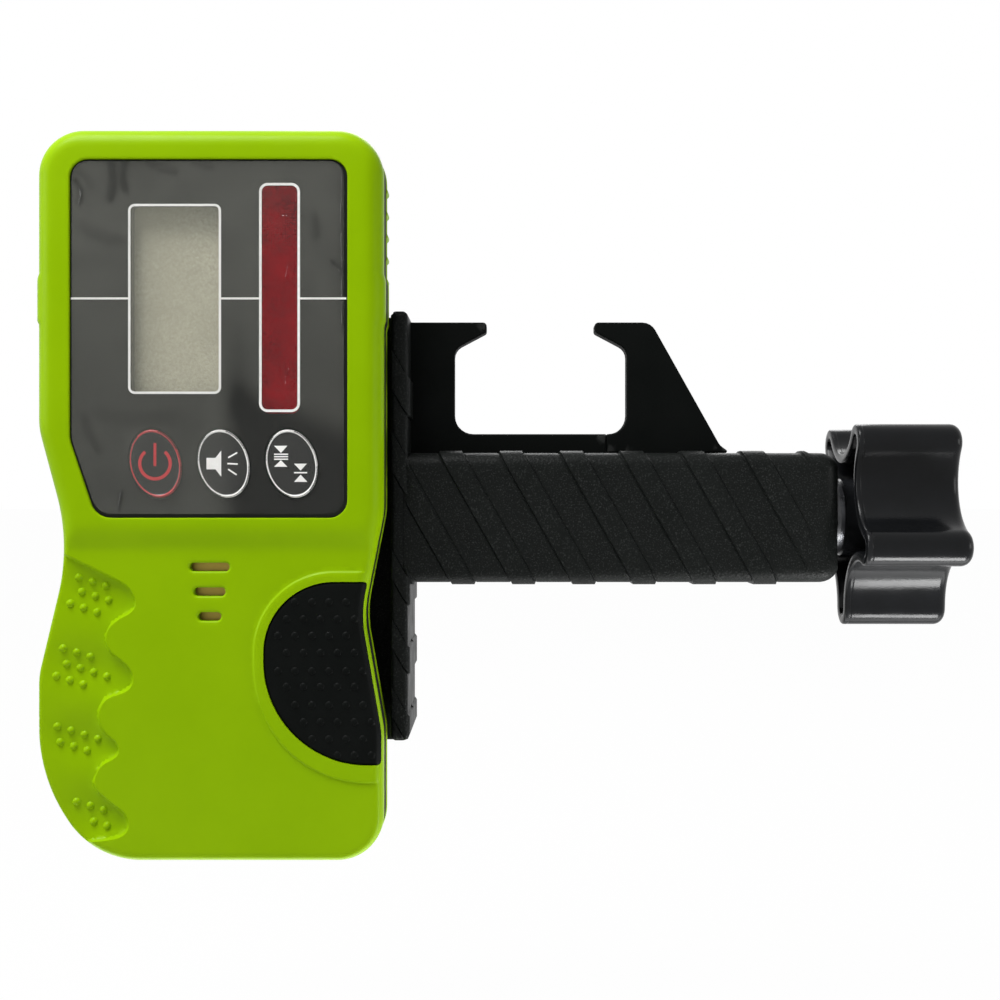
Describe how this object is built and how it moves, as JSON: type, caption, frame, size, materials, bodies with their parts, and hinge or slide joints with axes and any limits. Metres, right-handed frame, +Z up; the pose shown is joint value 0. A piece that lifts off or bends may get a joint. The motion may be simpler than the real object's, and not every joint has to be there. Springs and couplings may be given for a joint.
{
  "type": "laser receiver",
  "caption": "Handheld laser receiver with display, sensor window and keys in green shells, on a black bracket whose screw-driven jaw clamps a levelling rod.",
  "frame": {"origin": "middle of the rod seat, the flat floor of the clamp's opening with the jaws closed, half way through the jaw plate", "axes": "+Z up along the receiver and out of the clamp's mouth, +X along the clamp arm towards the knob, -Y is the display's side"},
  "size_m": [0.2055, 0.0502, 0.16],
  "materials": {
    "green_plastic": "satin moulded",
    "band_rubber": "matte",
    "panel_film": "printed film",
    "clear_window": "clear",
    "lcd_face": "grey green display",
    "white_plastic": "moulded",
    "red_window": "tinted",
    "board": "solder mask",
    "dark_chip": "moulded",
    "key_film": "embossed film",
    "steel": "turned",
    "black_steel": "black oxide",
    "brass": "plain",
    "piezo_ceramic": "plain",
    "pad_rubber": "satin",
    "cell_can": "wrapped can",
    "bracket_plastic": "fine texture",
    "jaw_metal": "powder coat",
    "knob_plastic": "polished moulding"
  },
  "bodies": {
    "receiver": {"front_shell": "green_plastic", "rear_shell": "green_plastic", "case_band": "band_rubber", "panel_overlay": "panel_film", "lcd_window": "clear_window", "lcd_glass": "lcd_face", "lcd_holder": "white_plastic", "sensor_window": "red_window", "sensor_board": "board", "photodiodes": "dark_chip", "sensor_header": "dark_chip", "key_switches": "dark_chip", "main_board": "board", "board_screws": "steel", "buzzer_plate": "brass", "buzzer_ceramic": "piezo_ceramic", "buzzer_springs": "brass", "thumb_pad": "pad_rubber", "battery_cells": "cell_can", "battery_contacts": "steel", "case_screws": "black_steel", "mount_insert": "brass", "bracket_front": "bracket_plastic", "bracket_rear": "bracket_plastic", "bracket_screws": "black_steel", "fixed_jaw": "jaw_metal", "end_bush": "steel", "mount_washer": "steel"},
    "power_button": {"power_key": "key_film"},
    "sound_button": {"sound_key": "key_film"},
    "precision_button": {"precision_key": "key_film"},
    "clamp_drive": {"lead_screw": "steel", "clamp_knob": "knob_plastic", "thrust_washer": "steel", "retaining_ring": "black_steel"},
    "jaw": {"sliding_jaw": "jaw_metal", "jaw_nut": "steel", "jaw_rivets": "steel"},
    "door": {"battery_door": "green_plastic", "door_pin": "steel"},
    "mount_drive": {"mount_screw": "knob_plastic"}
  },
  "joints": [
    {"name": "power_press", "type": "slide", "parent": "receiver", "child": "power_button", "axis": [0, 1, 0], "range_m": [0, 0.0006], "stiffness_N_per_m": 400},
    {"name": "sound_press", "type": "slide", "parent": "receiver", "child": "sound_button", "axis": [0, 1, 0], "range_m": [0, 0.0006], "stiffness_N_per_m": 400},
    {"name": "precision_press", "type": "slide", "parent": "receiver", "child": "precision_button", "axis": [0, 1, 0], "range_m": [0, 0.0006], "stiffness_N_per_m": 400},
    {"name": "clamp_turn", "type": "hinge", "parent": "receiver", "child": "clamp_drive", "pos_m": [0.0689, 0, -0.0194], "axis": [1, 0, 0], "range_deg": [0, 3960]},
    {"name": "jaw_slide", "type": "slide", "parent": "receiver", "child": "jaw", "axis": [1, 0, 0], "range_m": [0, 0.022]},
    {"name": "door_swing", "type": "hinge", "parent": "receiver", "child": "door", "pos_m": [-0.077, 0.0044, -0.02435], "axis": [1, 0, 0], "range_deg": [0, 100]},
    {"name": "mount_turn", "type": "hinge", "parent": "receiver", "child": "mount_drive", "pos_m": [-0.0728, 0.0107, 0.0106], "axis": [0, 1, 0], "continuous": true}
  ],
  "couplings": [
    {"joint": "clamp_turn", "follows": "jaw_slide", "rad_per_m": 3141.6}
  ]
}
